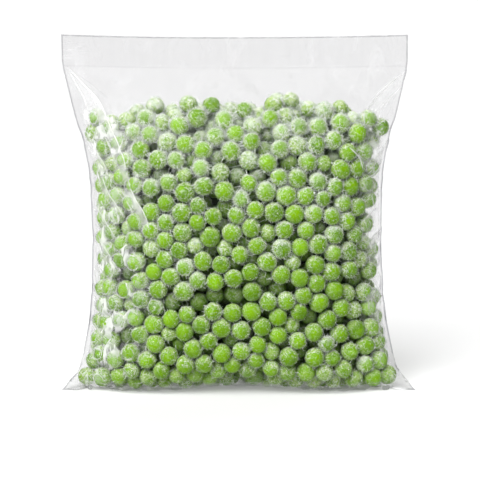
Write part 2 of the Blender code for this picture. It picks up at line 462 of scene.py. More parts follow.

# %% [markdown]
# ## Creases
# Where the bag draws in towards its sides there is too much film, and it folds. One long crease
# runs from each end of the seal down across the shoulder. Shorter ones slant down from the side
# edges, one below the other. A crease is a ridge with one steep side, and along its other side the
# film lies doubled as a white strip: partly the whiter doubled film, partly a painted highlight
# where the fold would catch the light. The ridge is pressed into the mesh, and a thin painted
# highlight runs along it. For the strip, each point keeps its distance from the nearest crease, + on
# the strip's side. It varies smoothly between points, so the material can draw an edge that is finer
# than the mesh. The same distance without its sign tells where the nearest crease changes, which
# isn't an edge.

# %% Press the creases into the film and mark it
FRONT, BACK = -1, 1
CREASES = [
    # face, points along the crease as (x, z) in mm, ridge height in mm, width in mm and strength of
    # the white strip, and the side of the crease that it is on: -1 towards -X, 1 towards +X
    (FRONT, [(-89, 168), (-79, 158), (-71.5, 150), (-65.5, 138), (-58.5, 122), (-55, 107)],
     0.9, 5.5, 1.0, -1),
    (FRONT, [(-56.4, 117), (-55, 108), (-51, 100), (-47.5, 94), (-45, 86)], 0.7, 5.5, 0.9, -1),
    (FRONT, [(-88, 166), (-82.5, 157), (-79, 151), (-77, 144)], 0.6, 4.0, 0.75, 1),
    (FRONT, [(-79, 135), (-74.5, 127), (-68.5, 117.5), (-66, 110)], 0.7, 3.5, 0.7, -1),
    (FRONT, [(-71, 115), (-67.5, 105.5), (-63, 99), (-57, 91)], 0.7, 3.5, 0.8, -1),
    (FRONT, [(-74, 97), (-68.5, 89), (-61, 78)], 0.6, 3.0, 0.7, -1),
    (FRONT, [(-74, 82), (-67.5, 73), (-61, 63)], 0.6, 4.5, 0.8, -1),
    (FRONT, [(-76.5, 55), (-71, 45), (-64, 38)], 0.6, 3.0, 0.7, -1),
    (FRONT, [(-78, 38), (-70, 29), (-61, 23)], 0.6, 3.0, 0.6, -1),
    (FRONT, [(87, 166), (77, 159), (67, 150)], 0.3, 6.0, 0.4, 1),
    (FRONT, [(85, 158), (77, 150), (72, 142)], 0.3, 4.0, 0.35, 1),
    (FRONT, [(56, 128), (61.4, 122), (64, 115)], 0.5, 1.4, 0.9, 1),
    (FRONT, [(72.5, 123), (73, 118), (70.5, 113.5), (63, 110)], 0.5, 1.5, 0.95, 1),
    (FRONT, [(68.5, 103), (69, 95), (62, 88)], 0.5, 1.8, 0.8, 1),
    (FRONT, [(68, 60), (73, 50), (72, 38)], 0.5, 1.8, 0.7, 1),
    (BACK, [(88, 167), (77, 157), (69, 147), (62, 133), (57, 117)], 0.8, 5.0, 0.8, 1),
    (BACK, [(78, 131), (72, 121), (64, 111)], 0.6, 3.5, 0.7, 1),
    (BACK, [(74, 107), (67, 97), (58, 88)], 0.6, 3.5, 0.7, 1),
    (BACK, [(75, 84), (68, 74), (61, 66)], 0.6, 3.0, 0.7, 1),
    (BACK, [(77, 50), (69, 41), (61, 35)], 0.6, 3.0, 0.7, 1),
    (BACK, [(-86, 166), (-76, 158), (-67, 150)], 0.3, 4.0, 0.3, -1),
    (BACK, [(-71, 124), (-66, 114), (-60, 106)], 0.6, 3.0, 0.6, -1),
    (BACK, [(-72, 84), (-66, 73), (-60, 66)], 0.6, 3.0, 0.6, -1),
    (BACK, [(-75, 45), (-68, 37), (-60, 33)], 0.6, 2.5, 0.5, -1),
]
SEAL_LINE = bag_height - 15.8 * MM  # the lower edge of the sealed band
SEAL_DIP = 1.4 * MM  # how far the band sags between its ends
STEPS_PER_CREASE = 60
FAR_AWAY = 9 * MM  # what film points keep that have no crease near them
STEEP_SIDE = 1.4 * MM
CREASE_REACH = 60 * MM  # no crease reaches farther than this from its middle


def smooth_line(points):
    """A smooth line through a few points, as many more points (Catmull-Rom)."""
    points = np.array(points) * MM
    padded = np.vstack([2 * points[0] - points[1], points, 2 * points[-1] - points[-2]])
    shares = np.linspace(0, len(points) - 1 - 1e-6, STEPS_PER_CREASE)
    whole = shares.astype(int)
    t = (shares - whole)[:, None]
    a, b, c, d = (padded[whole + step] for step in range(4))
    curved = (2 * a - 5 * b + 4 * c - d) * t**2 + (3 * b - a - 3 * c + d) * t**3
    return 0.5 * (2 * b + (c - a) * t + curved)


def step_up(values, low, high):
    """0 below low and 1 above high, with a smooth rise between."""
    share = np.clip((values - low) / (high - low), 0, 1)
    return share * share * (3 - 2 * share)


def beside_line(places, line):
    """How far places are from a line, + to its left going along it, and how far along they are."""
    runs = np.diff(line, axis=0)
    best = np.full(len(places), np.inf)
    side = np.zeros(len(places))
    along = np.zeros(len(places))
    for index, (start, run) in enumerate(zip(line[:-1], runs)):
        offset = places - start
        share = np.clip(offset @ run / (run @ run), 0, 1)
        away = np.linalg.norm(offset - share[:, None] * run, axis=1)
        cross = run[0] * offset[:, 1] - run[1] * offset[:, 0]
        nearer = away < best
        best = np.where(nearer, away, best)
        side = np.where(nearer, np.sign(cross), side)
        along = np.where(nearer, (index + share) / len(runs), along)
    return best * side, along


def press_creases():
    """Raises a ridge along each crease, and gives each film point its distance beyond the nearest
    crease, with that crease's width and strength."""
    points, normals = mesh_points(film), mesh_normals(film)
    face = np.where(normals[:, 1] < 0, FRONT, BACK)
    rise = np.zeros(len(points))
    beyond = np.full(len(points), FAR_AWAY)
    width = np.full(len(points), 1 * MM)
    strength = np.zeros(len(points))
    rank = np.full(len(points), np.inf)
    for crease_face, spots, height, strip, power, strip_side in CREASES:
        line = smooth_line(spots)
        close = (face == crease_face) & (np.abs(points[:, 0] - line[:, 0].mean()) < CREASE_REACH)
        which = np.flatnonzero(close)
        away, along = beside_line(points[which][:, (0, 2)], line)
        away = away * strip_side
        fade = np.clip(4 * along, 0, 1) * np.clip(4 * (1 - along), 0, 1)
        strip = strip * MM
        ridge = 1 - np.where(away > 0, step_up(away, 0, 0.8 * strip), step_up(-away, 0, STEEP_SIDE))
        rise[which] = np.maximum(rise[which], height * MM * fade**0.5 * ridge)
        near = np.abs(away) / strip
        wins = (near < rank[which]) & (fade > 0) & (near < 1.5)
        chosen = which[wins]
        rank[chosen] = near[wins]
        beyond[chosen] = away[wins]
        width[chosen] = strip
        strength[chosen] = (power * fade**0.5)[wins]
    points += normals * rise[:, None]
    move_points(film, points)
    put_mark(film.data, "crease_beyond", beyond / MM)
    put_mark(film.data, "crease_away", np.abs(beyond) / MM)
    put_mark(film.data, "crease_share", np.abs(beyond) / width)
    put_mark(film.data, "crease_strength", strength)


press_creases()

# %% [markdown]
# ## Thin the seals
# The solid was drawn with a sturdy seal, as a model that is weighed and dropped needs one. Two
# sheets of film are far thinner, so both sides of the seal, the side edges and the bottom corners
# are drawn together. Every point also keeps how far it is from the bag's outline, above the seal
# line and from the nearest pea, and how hazy the film is there: it is clear in the middle, where it
# is stretched over the peas, and cloudy where it is slack, towards the sides.
# That cloudiness is partly the film's own haze and partly painted reflection and highlight.

# %% Draw the sheets together and mark the film
THIN_BELOW = 2.4 * MM
UNDER_HEIGHT = 0.8 * MM  # the film's underside has no outline
UNDER_HALF_WIDTH = 76 * MM
THINNER = 0.36  # how much of the thickness each side gives up
SLACK_LEFT = (0.8, 8 * MM, 36 * MM)  # haze and painted reflection, and the stretch from the side over which it fades
SLACK_RIGHT = (0.5, 3 * MM, 17 * MM)
HAZE_STARTS = (2 * MM, 6 * MM)  # the very edge is clear
SLACK_BOTTOM = (0.22, 2 * MM, 6 * MM)
HAZE_TOP = (140 * MM, 153 * MM)  # the haze ends where the heap does
LOW_HAZE = 0.4  # the share of the haze that is left at the bag's foot, and where that ends
LOW_HAZE_ENDS = (8 * MM, 30 * MM)


def thin_seals():
    """Draws thin places of the film together to about a third of a millimetre."""
    tree = film_tree()
    points, normals = mesh_points(film), mesh_normals(film)
    for index in np.flatnonzero(np.abs(normals[:, 1]) > 0.15):
        way = Vector((0, -math.copysign(1, normals[index, 1]), 0))
        start = Vector(points[index]) + way * 0.01 * MM
        hit, _, _, thickness = tree.ray_cast(start, way, THIN_BELOW)
        if hit is not None:
            points[index, 1] += way.y * THINNER * thickness
    move_points(film, points)


def side_reach(points):
    """For each point, how far it is from the bag's left and right side at its height."""
    rows = np.clip((points[:, 2] / (2 * MM)).astype(int), 0, None)
    left = np.full(rows.max() + 1, np.inf)
    right = np.full(rows.max() + 1, -np.inf)
    np.minimum.at(left, rows, points[:, 0])
    np.maximum.at(right, rows, points[:, 0])
    return points[:, 0] - left[rows], right[rows] - points[:, 0]


def mark_film():
    """Gives the film the numbers that its material reads."""
    points, normals = mesh_points(film), mesh_normals(film)
    one, other = film_neighbours()
    turns = normals[one, 1] * normals[other, 1] <= 0
    under = (points[one, 2] < UNDER_HEIGHT) & (np.abs(points[one, 0]) < UNDER_HALF_WIDTH)
    outline = (points[one] + points[other])[turns & ~under] / 2
    tree = search_tree(outline, range(len(outline)))
    rim = np.array([tree.find(point)[2] for point in points])
    put_mark(film.data, "rim", rim / MM)
    across = points[:, 0] / bag_high.x
    above_seal = points[:, 2] + SEAL_DIP * (1 - across**2) - SEAL_LINE
    put_mark(film.data, "above_seal", above_seal / MM)
    put_mark(film.data, "pea_gap", np.clip((film_to_pea - film_sink) / MM, 0, 9))
    haze_and_reflection = np.zeros(len(points))
    for (most, start, end), reach in zip((SLACK_LEFT, SLACK_RIGHT), side_reach(points)):
        haze_and_reflection = np.maximum(haze_and_reflection, most * step_up(reach, *HAZE_STARTS) * (1 - step_up(reach, start, end)))
    most, start, end = SLACK_BOTTOM
    low = most * (np.abs(normals[:, 1]) > 0.2) * (1 - step_up(points[:, 2], start, end))
    low = low * (1 - step_up(film_to_pea, 3 * MM, 6 * MM))
    haze_and_reflection = haze_and_reflection * (LOW_HAZE + (1 - LOW_HAZE) * step_up(points[:, 2], *LOW_HAZE_ENDS))
    haze_and_reflection = np.maximum(haze_and_reflection, low) * (1 - step_up(points[:, 2], *HAZE_TOP))
    put_mark(film.data, "haze_and_reflection", haze_and_reflection)


thin_seals()
mark_film()

# %% [markdown]
# ## One pea, modelled by hand
# A garden pea is nearly a ball, but never quite: it is a little flat where it lay against its
# neighbours in the pod, and it has a shallow dent where it hung on its stalk. A few kinds are
# modelled from an icosphere, whose even triangles show no poles, whichever way a copy is turned.
# There will be a thousand copies, so each has 80 faces only. Smooth shading hides them, and the
# shape is swollen a little, because flat faces between points on a ball lie inside it.

# %% Model the kinds of pea
PEA_KINDS = [
    # name, how it is squashed along x, y and z, depth of the stalk's dent, lumpiness
    ("pea_round", (1.0, 1.0, 0.985), 0.05, 0.035),
    ("pea_oval", (1.04, 0.98, 0.96), 0.07, 0.05),
    ("pea_flat", (1.02, 1.03, 0.92), 0.10, 0.05),
    ("pea_dented", (0.99, 1.02, 0.97), 0.20, 0.075),
]
DENT_TOP = 0.93  # points above this share of the radius belong to the dent
SWELL = 1.035


def select_points(piece, rule):
    """Selects the points of a mesh that a rule picks by their place, and enters edit mode."""
    bpy.ops.object.mode_set(mode="EDIT")
    bpy.ops.mesh.select_mode(type="VERT")
    bpy.ops.mesh.select_all(action="DESELECT")
    bpy.ops.object.mode_set(mode="OBJECT")
    for point in piece.data.vertices:
        point.select = rule(point.co)
    bpy.ops.object.mode_set(mode="EDIT")


def model_pea(name, squash, dent, lumps):
    """A pea of radius 1, squashed, dented at its stalk and slightly lumpy."""
    bpy.ops.object.select_all(action="DESELECT")
    bpy.ops.mesh.primitive_ico_sphere_add(subdivisions=2, radius=1.0)
    pea = bpy.context.object
    pea.name = name
    select_points(pea, lambda place: place.z > DENT_TOP)
    bpy.ops.transform.translate(value=(0, 0, -dent))
    bpy.ops.mesh.select_all(action="SELECT")
    bpy.ops.transform.resize(value=squash)
    bpy.ops.transform.resize(value=(SWELL, SWELL, SWELL))
    bpy.ops.object.mode_set(mode="OBJECT")
    texture = bpy.data.textures.new(name, "CLOUDS")
    texture.noise_scale = 0.75 + 4 * lumps
    lumpy = pea.modifiers.new("lumpy", "DISPLACE")
    lumpy.texture = texture
    lumpy.strength = 2 * lumps
    bpy.ops.object.modifier_apply(modifier=lumpy.name)
    return pea


def take_shape(piece):
    """The points and triangles of a modelled shape. The object itself is then done with."""
    points = mesh_points(piece)
    faces = np.array([face.vertices[:] for face in piece.data.polygons])
    bpy.data.objects.remove(piece, do_unlink=True)
    return points, faces


pea_shapes = [take_shape(model_pea(*kind)) for kind in PEA_KINDS]
print("faces of a pea:", len(pea_shapes[0][1]))

# %% [markdown]
# ## Many copies in one mesh
# A particle system or instances would fill the bag as well, but they stay a recipe and not a mesh,
# and an exported model loses them. So each copy is written out: the shape's points are turned,
# scaled and moved for every place at once, and all go into one mesh. Numbers that belong to a copy,
# such as its shade of green, are kept on its points, where a material can read them.

# %% Write out copies of a shape


def random_turns(count):
    """Rotation matrices that point every way equally often, from random quaternions."""
    quaternions = chance.normal(size=(4, count))
    w, x, y, z = quaternions / np.linalg.norm(quaternions, axis=0)
    rows = [
        [1 - 2 * (y * y + z * z), 2 * (x * y - z * w), 2 * (x * z + y * w)],
        [2 * (x * y + z * w), 1 - 2 * (x * x + z * z), 2 * (y * z - x * w)],
        [2 * (x * z - y * w), 2 * (y * z + x * w), 1 - 2 * (x * x + y * y)],
    ]
    return np.array(rows).transpose(2, 0, 1)


def write_copies(name, batches, smooth=True):
    """One object made of several batches of copies. A batch is (shape, places, turns, sizes, marks):
    sizes scale x, y and z, and marks are {name: a number for each copy}."""
    points, faces, marks = [], [], {}
    start = 0
    for (shape_points, shape_faces), places, turns, sizes, numbers in batches:
        shaped = shape_points[None] * sizes[:, None, :]
        turned = np.einsum("nij,npj->npi", turns, shaped) + places[:, None, :]
        points.append(turned.reshape(-1, 3))
        first_points = start + np.arange(len(places)) * len(shape_points)
        faces.append((shape_faces[None] + first_points[:, None, None]).reshape(-1, 3))
        start += len(places) * len(shape_points)
        for key, values in numbers.items():
            marks.setdefault(key, []).append(np.repeat(values, len(shape_points)))
    mesh = bpy.data.meshes.new(name)
    mesh.from_pydata(np.concatenate(points), [], np.concatenate(faces))
    for key, values in marks.items():
        put_mark(mesh, key, np.concatenate(values))
    piece = bpy.data.objects.new(name, mesh)
    bpy.context.scene.collection.objects.link(piece)
    if smooth:
        mesh.shade_smooth()
    print(name, "copies:", sum(len(batch[1]) for batch in batches), "faces:", len(mesh.polygons))
    return piece


# %% [markdown]
# ## The peas
# Frost grows where moist air reaches the pea. Where the film lies on it there is none, so the clear
# green shows there as a bright spot, and that spot is what makes the peas look wet behind film. Each
# point of a pea therefore keeps its distance from the film, and each pea its tone, how frosty it is
# and its painted shade, which darkens the inner peas that little light reaches. The heap is frostiest
# at its top, next to the air above it. Loose frost falls like dust, and light falls from above, so
# the upper side of a pea is painted whiter than its lower side, partly as frost dust and partly as
# painted light: a point also keeps how far up it faces.

# %% Lay out the peas
FROST_LOW = 0.38  # frostiness of the lowest peas, and what the highest have more
FROST_RISE = 0.47
FROST_SPREAD = 0.2
LEAST_FROST = 0.08
KIND_SHARES = (0.45, 0.25, 0.15, 0.15)  # how many of the peas are of each kind

pea_tone = chance.uniform(0, 1, pea_count)
height_share = np.clip(pea_places[:, 2] / heap_top, 0, 1)
pea_frost = FROST_LOW + FROST_RISE * height_share**2 + chance.normal(0, FROST_SPREAD, pea_count)
pea_frost = np.clip(pea_frost, LEAST_FROST, 1)
pea_kind = chance.choice(len(PEA_KINDS), pea_count, p=KIND_SHARES)
pea_turns = random_turns(pea_count)


def pea_batch(kind, chosen):
    """A batch of write_copies for the chosen peas of one kind."""
    which = np.flatnonzero(chosen & (pea_kind == kind))
    sizes = np.repeat(pea_radii[which, None], 3, axis=1)
    snowy = inner[which] * height_share[which] ** 5
    # The inner peas get painted shade, less of it where they are snowy at the top of the heap.
    marks = {
        "tone": pea_tone[which],
        "frost": pea_frost[which] + 0.6 * snowy,
        "painted_shade": inner[which] - 0.75 * snowy,
    }
    return pea_shapes[kind], pea_places[which], pea_turns[which], sizes, marks


def mark_skin(piece, tree):
    """Keeps each point's distance from the film, in millimetres, and how far up it faces."""
    gaps = [tree.find_nearest(Vector(point))[3] / MM for point in mesh_points(piece)]
    put_mark(piece.data, "film_gap", np.array(gaps))
    put_mark(piece.data, "facing_up", mesh_normals(piece)[:, 2])


tight_film = film_tree()
peas_round = write_copies("peas_round", [pea_batch(0, outer)])
peas_uneven = write_copies("peas_uneven", [pea_batch(kind, outer) for kind in (1, 2, 3)])
peas_inner = write_copies("peas_inner", [pea_batch(kind, inner) for kind in range(4)])
for piece in (peas_round, peas_uneven, peas_inner):
    mark_skin(piece, tight_film)

# %% [markdown]
# ## The core
# Behind the second layer it is dark and green, and nothing has a clear shape. The deep peas are
# swollen until they overlap, and one voxel remesh turns them into a single closed lump that still
# shows rounded peas where a gap lets the eye in. The lump is coloured a far darker green than a pea,
# as painted shade.

# %% Merge the deep peas into a core
CORE_SWELL = 1.22
CORE_VOXEL = 2.4 * MM


def make_core():
    """A closed lump in the place of the deep peas."""
    which = np.flatnonzero(deep)
    sizes = np.repeat(CORE_SWELL * pea_radii[which, None], 3, axis=1)
    core = write_copies("core", [(pea_shapes[0], pea_places[which], pea_turns[which], sizes, {})])
    only(core)
    merge = core.modifiers.new("merge", "REMESH")
    merge.mode = "VOXEL"
    merge.voxel_size = CORE_VOXEL
    bpy.ops.object.modifier_apply(modifier=merge.name)
    bpy.ops.object.mode_set(mode="EDIT")
    bpy.ops.mesh.select_all(action="SELECT")
    bpy.ops.mesh.vertices_smooth(factor=0.5, repeat=2)
    bpy.ops.object.mode_set(mode="OBJECT")
    bpy.ops.object.shade_smooth()
    return core


core = make_core()
print("core faces:", len(core.data.polygons))

# %% [markdown]
# ## Frost needles
# Frost on frozen peas is hoarfrost: fine white needles that stand off the skin. They are longest
# where there is room and there are none where the film presses. A needle is a long tetrahedron,
# the simplest closed solid. Thousands of them are set on the peas, each with its foot just under
# the skin, and any that would poke through the film or end inside a neighbouring pea is left out.

# %% Model a needle and set the needles on the peas
FOOT_DEPTH = 0.96  # the foot's place on the way from the pea's middle to its skin
NEEDLE_TRIES = 450000
NEEDLES = 46000
NEEDLE_LENGTH = 0.9 * MM
NEEDLE_WIDTH = 0.145 * MM
TIP_GAP = 0.3 * MM  # tips stay this far inside the film
CLEAR_OF = 0.98  # frost stays out of this share of another pea's radius
NEEDLE_DEPTHS = (0.6, 2.4, 3.8, 5.8)  # how likely a needle is, by its foot's depth in millimetres
NEEDLE_SHARES = (0.0, 0.8, 1.0, 0.0)
NEEDLE_LEAN = 0.85
FROST_SHADE_DEPTHS = (4.5 * MM, 9 * MM)  # the depths over which frost is darkened to a green painted shade


def model_needle():
    """A spike of height 1 with its foot at the origin: a tetrahedron that ends in a short edge at
    its foot and, turned across it, in another at its tip, so it is equally wide all along."""
    bpy.ops.object.select_all(action="DESELECT")
    bpy.ops.mesh.primitive_cone_add(vertices=3, radius1=1.0, radius2=0.0, depth=1.0, location=(0, 0, 0.5))
    needle = bpy.context.object
    bpy.ops.object.transform_apply(location=True)
    select_points(needle, lambda place: place.z > 0.5)
    bpy.ops.transform.translate(value=(0, -1.2, 0))
    select_points(needle, lambda place: place.y > 0.5)
    bpy.ops.transform.translate(value=(0, -0.8, 1))
    bpy.ops.mesh.select_all(action="SELECT")
    bpy.ops.transform.translate(value=(0, 0.5, 0))
    bpy.ops.mesh.normals_make_consistent(inside=False)
    bpy.ops.object.mode_set(mode="OBJECT")
    return take_shape(needle)


def turns_towards(ways):
    """Rotation matrices that turn +Z towards each way, rolled about it by a random angle."""
    side = unit(np.cross(ways, chance.normal(size=ways.shape)))
    return np.stack([side, np.cross(ways, side), ways], axis=-1)


def frost_feet(tries, inner_share, share):
    """Random places on the peas that frost can grow on: their pea, place and outward way. share is
    how likely each outer pea is to be chosen, and inner_share what an inner pea has of that."""
    share = np.where(outer, 1.0, np.where(inner, inner_share, 0.0)) * share
    which = chance.choice(pea_count, tries, p=share / share.sum())
    ways = unit(chance.normal(size=(tries, 3)))
    return which, pea_places[which] + ways * pea_radii[which, None] * FOOT_DEPTH, ways


def near_other(points, own, share=1.0, margin=0.0):
    """True where a point lies in a pea other than its own: within that share of its radius, and a
    margin more."""
    near = np.zeros(len(points), dtype=bool)
    for index, point in enumerate(points):
        for _, other, away in pea_tree.find_n(point, 3):
            near[index] |= other != own[index] and away < share * pea_radii[other] + margin
    return near


def leaned(ways, spread):
    """Each way turned aside by a random amount."""
    return unit(ways + chance.normal(0, spread, ways.shape))


def write_frost(name, shape, which, feet, turns, sizes):
    """Writes out copies of a crystal. Each keeps how far it lies inside the heap, from 0 to 1, but
    at the heap's snowy top that counts as 0. The frost's material paints shade by this number."""
    painted_shade_depth = step_up(depth_at(feet), *FROST_SHADE_DEPTHS) * (1 - height_share[which] ** 5)
    return write_copies(name, [(shape, feet, turns, sizes, {"deep": painted_shade_depth})], smooth=False)


def write_needles(name, width, which, feet, lean, lengths):
    """Writes out needles of uneven width that point where they lean."""
    widths = width * chance.uniform(0.6, 1.5, len(which))
    sizes = np.stack([widths, 0.6 * widths, lengths], axis=1)
    return write_frost(name, needle_shape, which, feet, turns_towards(lean), sizes)


pea_tree = search_tree(pea_places, range(pea_count))
needle_shape = model_needle()


def grow_needles():
    """Short needles that stand off the skins of the outer and the inner peas."""
    which, feet, ways = frost_feet(NEEDLE_TRIES, 0.12, 0.25 + pea_frost)
    likely = np.interp(depth_at(feet) / MM, NEEDLE_DEPTHS, NEEDLE_SHARES)
    keep = chance.uniform(0, 1, NEEDLE_TRIES) < likely
    which, feet, ways = which[keep], feet[keep], ways[keep]
    lean = leaned(ways, NEEDLE_LEAN)
    lengths = NEEDLE_LENGTH * chance.gamma(4, 0.25, len(feet)) * (0.6 + 0.7 * pea_frost[which])
    tips = feet + lean * lengths[:, None]
    inside = (depth_at(tips) > TIP_GAP) & ((lean * ways).sum(axis=1) > 0.1)
    inside[inside] = ~near_other(tips[inside], which[inside], CLEAR_OF)
    picked = np.flatnonzero(inside)[:NEEDLES]
    chosen = (values[picked] for values in (which, feet, lean, lengths))
    return write_needles("frost_needles", NEEDLE_WIDTH, *chosen)


frost_needles = grow_needles()

# %% [markdown]
# ## Frost webs
# In the gaps the needles of neighbouring peas have grown into one another, and the frost there is
# a grey-white fluff. Longer, thinner needles that run from one pea across the gap into the next
# give it. There are most of them near the top of the heap, where the air in the bag is.

# %% Bridge the gaps
WEB_TRIES = 300000
WEBS = 34000
WEB_LENGTH = 2.3 * MM
WEB_WIDTH = 0.18 * MM
WEB_LEAN = 1.1
WEB_STARTS = 1.2 * MM  # the least depth of a web's foot below the film
WEB_ENDS = 0.5 * MM  # how close a web's far end must come to another pea


def grow_webs():
    """Long needles that cross the gaps between the peas."""
    share = 0.02 + 1.4 * height_share**6 + 0.06 * pea_frost
    which, feet, ways = frost_feet(WEB_TRIES, 0.8, share)
    lean = leaned(ways, WEB_LEAN)
    lengths = WEB_LENGTH * chance.gamma(5, 0.2, WEB_TRIES)
    tips = feet + lean * lengths[:, None]
    middles = feet + 0.5 * lean * lengths[:, None]
    inside = (depth_at(tips) > TIP_GAP) & (depth_at(feet) > WEB_STARTS)
    inside &= (lean * ways).sum(axis=1) > 0.05
    inside[inside] = ~near_other(middles[inside], which[inside], CLEAR_OF)
    inside[inside] = near_other(tips[inside], which[inside], margin=WEB_ENDS)
    picked = np.flatnonzero(inside)[:WEBS]
    chosen = (values[picked] for values in (which, feet, lean, lengths))
    return write_needles("frost_webs", WEB_WIDTH, *chosen)


frost_webs = grow_webs()

# %% [markdown]
# ## Frost grains
# Between the needles lie grains of ice, knocked off when the bag was moved. They are small
# diamonds, so that each one catches the light on one face or another. They gather in the upper part
# of the heap and in the hollows between peas.

# %% Scatter the grains
GRAIN_TRIES = 40000
GRAINS = 14000
GRAIN_SIZE = 0.2 * MM
GRAIN_STARTS = 0.5 * MM  # the least depth of a grain below the film


def model_grain():
    """A crooked diamond of eight faces and radius 1."""
    bpy.ops.object.select_all(action="DESELECT")
    bpy.ops.mesh.primitive_cone_add(vertices=4, radius1=1.0, depth=1.0, end_fill_type="TRIFAN")
    grain = bpy.context.object
    select_points(grain, lambda place: place.z < 0 and place.xy.length < 0.1)
    bpy.ops.transform.translate(value=(0, 0, -0.8))
    select_points(grain, lambda place: place.x > 0.5)
    bpy.ops.transform.translate(value=(0.3, 0.15, 0.2))
    bpy.ops.object.mode_set(mode="OBJECT")
    return take_shape(grain)


def scatter_grains():
    """Ice grains on the skins of the peas."""
    which, feet, _ = frost_feet(GRAIN_TRIES, 0.6, 0.4 + pea_frost)
    keep = depth_at(feet) > GRAIN_STARTS
    keep[keep] = ~near_other(feet[keep], which[keep], CLEAR_OF)
    picked = np.flatnonzero(keep)[:GRAINS]
    count = len(picked)
    sizes = GRAIN_SIZE * chance.gamma(4, 0.25, (count, 1)) * chance.uniform(0.6, 1.3, (count, 3))
    chosen = which[picked], feet[picked]
    return write_frost("frost_grains", model_grain(), *chosen, random_turns(count), sizes)


frost_grains = scatter_grains()

# %% [markdown]
# ## Materials for the peas
# A frozen pea is a saturated yellow-green that a little light passes through. Over it lies the
# frost, a thin, broken white layer, so the colour is mixed twice: clear skin where the film touches
# the pea, and pale, frosted skin with whiter streaks everywhere else.

# %% Small helpers for node materials


class Nodes:
    """Adds nodes to one material and links them as it goes."""

    def __init__(self, name, colour):
        self.material = bpy.data.materials.new(name)
        self.material.use_nodes = True
        self.material.diffuse_color = (*colour, 1)
        self.tree = self.material.node_tree
        self.tree.nodes.clear()

    def feed(self, socket, value):
        """Gives a socket a value, or links it to a node or an output."""
        if isinstance(value, bpy.types.Node):
            value = value.outputs[0]
        if isinstance(value, bpy.types.NodeSocket):
            self.tree.links.new(value, socket)
        else:
            socket.default_value = (*value, 1) if socket.type == "RGBA" else value

    def add(self, kind, inputs=None, **settings):
        """A node with its settings, its inputs given as values, nodes or nodes' outputs."""
        node = self.tree.nodes.new("ShaderNode" + kind)
        for key, value in settings.items():
            setattr(node, key, value)
        for key, value in (inputs or {}).items():
            self.feed(node.inputs[key], value)
        return node

    def mark(self, key):
        """A number kept on the points of the mesh."""
        return self.add("Attribute", attribute_name=key).outputs["Fac"]

    def maths(self, operation, *values):
        """The result of one sum on numbers or outputs."""
        return self.add("Math", dict(enumerate(values)), operation=operation).outputs[0]

    def times(self, first, *others):
        """The product of several."""
        for other in others:
            first = self.maths("MULTIPLY", first, other)
        return first

    def most(self, first, *others):
        """The largest of several."""
        for other in others:
            first = self.maths("MAXIMUM", first, other)
        return first

    def away(self, value, middle=0.0):
        """How far a value is from a middle one, on either side."""
        return self.maths("ABSOLUTE", self.maths("SUBTRACT", value, middle))

    def place(self):
        """The point's place in the piece's own coordinates, which are the bag's."""
        return self.add("TexCoord").outputs["Object"]

    def ramp(self, value, low, high, start=0.0, end=1.0):
        """A smooth step: start at low, end at high."""
        inputs = {"Value": value, "From Min": low, "From Max": high, "To Min": start, "To Max": end}
        node = self.add("MapRange", inputs, interpolation_type="SMOOTHSTEP")
        return node.outputs["Result"]

    def noise(self, scale, detail=3.0, roughness=0.55, vector=None, **inputs):
        """Noise in object space, its scale given as the size of a blotch in millimetres."""
        sockets = {"Vector": vector or self.place(), "Scale": 1000 / scale}
        sockets |= {"Detail": detail, "Roughness": roughness, **inputs}
        return self.add("TexNoise", sockets).outputs["Fac"]

    def blend(self, share, first, second):
        """A colour between two others."""
        return self.add("Mix", {0: share, 6: first, 7: second}, data_type="RGBA").outputs[2]

    def output(self, shader):
        """Makes a shader the material's surface."""
        self.add("OutputMaterial", {"Surface": shader})
        return self.material


# %% Make the materials of the peas, the core and the frost
CLEAR_DARK = (0.102, 0.235, 0.001)
CLEAR_LIGHT = (0.22, 0.45, 0.001)
DUSTY_DARK = (0.18, 0.32, 0.03)
DUSTY_LIGHT = (0.45, 0.58, 0.20)
RIME = (0.82, 0.83, 0.83)
PAINTED_SHADE_GREEN = (0.014, 0.046, 0.002)
PAINTED_SHADE_PALER = (0.028, 0.06, 0.008)
FROST_DULL = (0.86, 0.90, 0.85)
FROST_BRIGHT = (0.94, 0.96, 0.94)
FROST_PAINTED_SHADE = (0.22, 0.36, 0.17)
DUST_AND_TOP_LIGHT = 0.32  # how much frostier a pea is where it faces up, and less so where it faces down: partly frost dust, partly painted light from above
